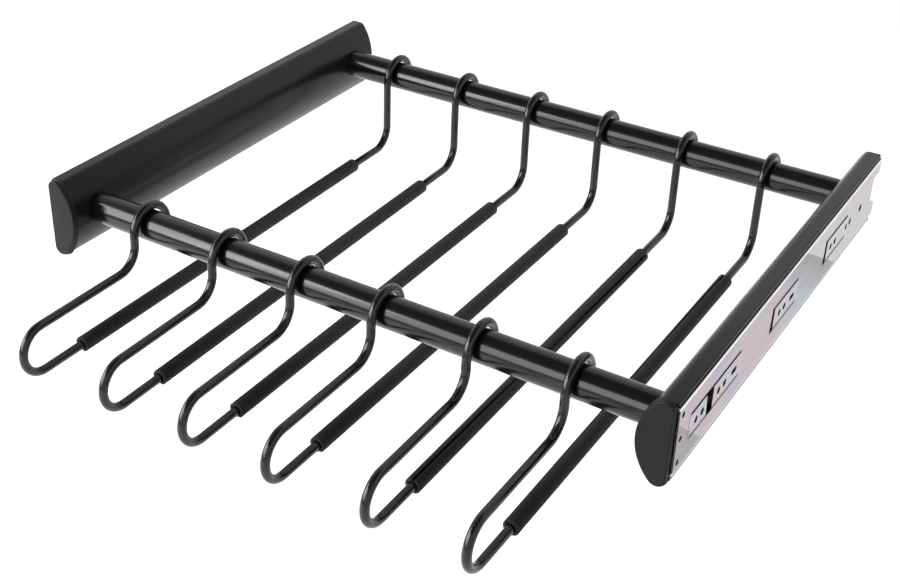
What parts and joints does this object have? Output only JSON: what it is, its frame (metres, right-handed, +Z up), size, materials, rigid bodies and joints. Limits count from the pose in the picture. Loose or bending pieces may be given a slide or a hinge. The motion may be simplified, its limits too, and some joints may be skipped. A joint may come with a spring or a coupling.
{
  "type": "pull out trouser rack",
  "caption": "Pull-out trouser rack: D-section side rails on ball-bearing slides, two cross tubes and bent-wire hangers with rubber sleeves.",
  "frame": {"origin": "midway between the cabinet walls, level with the slides' centre line, in the plane of the cabinet walls' front edges; the slides are set back 2 mm from it", "axes": "+X to the right seen from the front, +Y into the cabinet, +Z up; the rack pulls out along -Y"},
  "size_m": [0.45, 0.4509, 0.0866],
  "materials": {
    "slide_steel": "bright zinc plated with a faint iridescent sheen",
    "cage_steel": "plain stamped strip",
    "ball_steel": "polished balls, lightly greased",
    "buffer_rubber": "matt moulded rubber",
    "black_nylon": "moulded nylon",
    "rail_aluminium": "satin black anodised extrusion",
    "cap_plastic": "fine satin moulded plastic",
    "plug_steel": "turned",
    "gloss_black": "gloss black coated steel tube",
    "screw_steel": "zinc plated",
    "gloss_black_wire": "gloss black coated steel wire",
    "sleeve_rubber": "matt soft rubber tube"
  },
  "bodies": {
    "cabinet": {"left_cabinet_member": "slide_steel", "right_cabinet_member": "slide_steel", "left_rear_buffer": "buffer_rubber", "right_rear_buffer": "buffer_rubber"},
    "carriage": {"left_drawer_member": "slide_steel", "left_side_rail": "rail_aluminium", "left_front_cap": "cap_plastic", "left_rear_cap": "cap_plastic", "left_front_tube_plug": "plug_steel", "left_rear_tube_plug": "plug_steel", "right_drawer_member": "slide_steel", "right_side_rail": "rail_aluminium", "right_front_cap": "cap_plastic", "right_rear_cap": "cap_plastic", "right_front_tube_plug": "plug_steel", "right_rear_tube_plug": "plug_steel", "front_tube": "gloss_black", "rear_tube": "gloss_black", "tube_screws": "screw_steel", "slide_screws": "screw_steel"},
    "left_intermediate": {"left_intermediate_member": "slide_steel", "left_cage_stops": "black_nylon"},
    "left_outer_cage": {"left_outer_ball_cage": "cage_steel", "left_outer_balls": "ball_steel"},
    "left_inner_cage": {"left_inner_ball_cage": "cage_steel", "left_inner_balls": "ball_steel"},
    "right_intermediate": {"right_intermediate_member": "slide_steel", "right_cage_stops": "black_nylon"},
    "right_outer_cage": {"right_outer_ball_cage": "cage_steel", "right_outer_balls": "ball_steel"},
    "right_inner_cage": {"right_inner_ball_cage": "cage_steel", "right_inner_balls": "ball_steel"},
    "hanger_1": {"hanger_1": "gloss_black_wire", "sleeve_1": "sleeve_rubber"},
    "hanger_2": {"hanger_2": "gloss_black_wire", "sleeve_2": "sleeve_rubber"},
    "hanger_3": {"hanger_3": "gloss_black_wire", "sleeve_3": "sleeve_rubber"},
    "hanger_4": {"hanger_4": "gloss_black_wire", "sleeve_4": "sleeve_rubber"},
    "hanger_5": {"hanger_5": "gloss_black_wire", "sleeve_5": "sleeve_rubber"},
    "hanger_6": {"hanger_6": "gloss_black_wire", "sleeve_6": "sleeve_rubber"}
  },
  "joints": [
    {"name": "carriage_slide", "type": "slide", "parent": "cabinet", "child": "carriage", "axis": [0, -1, 0], "range_m": [0, 0.35]},
    {"name": "left_intermediate_slide", "type": "slide", "parent": "cabinet", "child": "left_intermediate", "axis": [0, -1, 0], "range_m": [0, 0.175]},
    {"name": "left_outer_cage_slide", "type": "slide", "parent": "cabinet", "child": "left_outer_cage", "axis": [0, -1, 0], "range_m": [0, 0.0875]},
    {"name": "left_inner_cage_slide", "type": "slide", "parent": "cabinet", "child": "left_inner_cage", "axis": [0, -1, 0], "range_m": [0, 0.2625]},
    {"name": "right_intermediate_slide", "type": "slide", "parent": "cabinet", "child": "right_intermediate", "axis": [0, -1, 0], "range_m": [0, 0.175]},
    {"name": "right_outer_cage_slide", "type": "slide", "parent": "cabinet", "child": "right_outer_cage", "axis": [0, -1, 0], "range_m": [0, 0.0875]},
    {"name": "right_inner_cage_slide", "type": "slide", "parent": "cabinet", "child": "right_inner_cage", "axis": [0, -1, 0], "range_m": [0, 0.2625]},
    {"name": "hanger_1_slide", "type": "slide", "parent": "carriage", "child": "hanger_1", "axis": [1, 0, 0], "range_m": [-0.0378, 0.0267]},
    {"name": "hanger_2_slide", "type": "slide", "parent": "carriage", "child": "hanger_2", "axis": [1, 0, 0], "range_m": [-0.0267, 0.0249]},
    {"name": "hanger_3_slide", "type": "slide", "parent": "carriage", "child": "hanger_3", "axis": [1, 0, 0], "range_m": [-0.0249, 0.0244]},
    {"name": "hanger_4_slide", "type": "slide", "parent": "carriage", "child": "hanger_4", "axis": [1, 0, 0], "range_m": [-0.0244, 0.0266]},
    {"name": "hanger_5_slide", "type": "slide", "parent": "carriage", "child": "hanger_5", "axis": [1, 0, 0], "range_m": [-0.0266, 0.026]},
    {"name": "hanger_6_slide", "type": "slide", "parent": "carriage", "child": "hanger_6", "axis": [1, 0, 0], "range_m": [-0.026, 0.0421]}
  ],
  "couplings": [
    {"joint": "left_intermediate_slide", "follows": "carriage_slide", "ratio": 0.5},
    {"joint": "left_outer_cage_slide", "follows": "carriage_slide", "ratio": 0.25},
    {"joint": "left_inner_cage_slide", "follows": "carriage_slide", "ratio": 0.75},
    {"joint": "right_intermediate_slide", "follows": "carriage_slide", "ratio": 0.5},
    {"joint": "right_outer_cage_slide", "follows": "carriage_slide", "ratio": 0.25},
    {"joint": "right_inner_cage_slide", "follows": "carriage_slide", "ratio": 0.75}
  ]
}
